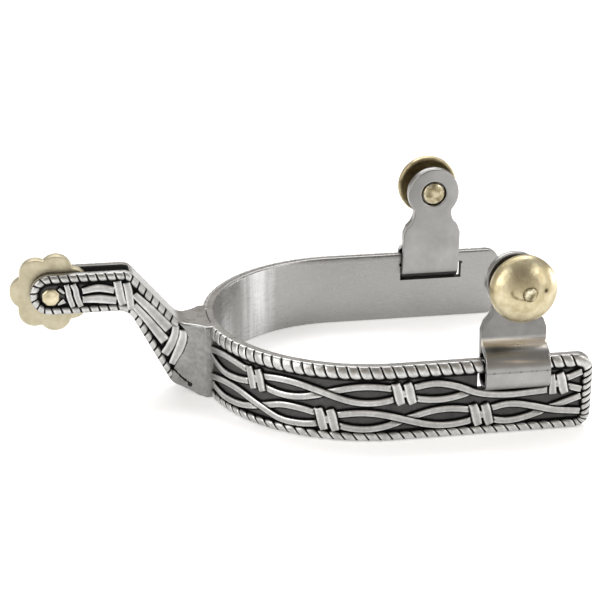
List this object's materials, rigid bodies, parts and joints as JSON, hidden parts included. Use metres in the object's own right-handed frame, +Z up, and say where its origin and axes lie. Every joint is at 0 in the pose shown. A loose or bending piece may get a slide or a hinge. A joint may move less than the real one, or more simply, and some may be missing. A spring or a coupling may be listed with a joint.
{
  "type": "western spur",
  "caption": "Western spur with a relief-cast heel band, slotted shank, scalloped rowel and two folded hangers carrying domed strap buttons.",
  "frame": {"origin": "centre of the half-round heel seat, in the plane of the band's lower edge", "axes": "+X to the toe, +Y to the rider's left, +Z up along the heel seat's axis"},
  "size_m": [0.1471, 0.104, 0.0492],
  "materials": {
    "antiqued_steel": "antiqued relief, satin high points",
    "polished_steel": "bright satin",
    "rowel_brass": "satin",
    "button_brass": "polished",
    "stud_brass": "peened"
  },
  "bodies": {
    "heel_frame": {"heel_band": "antiqued_steel", "shank": "antiqued_steel", "rowel_pin": "stud_brass"},
    "rowel": {"rowel": "rowel_brass"},
    "hanger_right": {"hanger_right": "polished_steel", "button_cap_right": "button_brass", "button_stud_right": "stud_brass"},
    "hanger_left": {"hanger_left": "polished_steel", "button_cap_left": "button_brass", "button_stud_left": "stud_brass"}
  },
  "joints": [
    {"name": "rowel_spin", "type": "hinge", "parent": "heel_frame", "child": "rowel", "pos_m": [-0.0845, 0, 0.03], "axis": [0, 1, 0], "continuous": true},
    {"name": "hanger_right_swing", "type": "hinge", "parent": "heel_frame", "child": "hanger_right", "pos_m": [0.0312, -0.04225, 0.01875], "axis": [1, 0, 0], "range_deg": [-115, 135]},
    {"name": "hanger_left_swing", "type": "hinge", "parent": "heel_frame", "child": "hanger_left", "pos_m": [0.03, 0.04225, 0.01875], "axis": [-1, 0, 0], "range_deg": [-115, 135]}
  ]
}
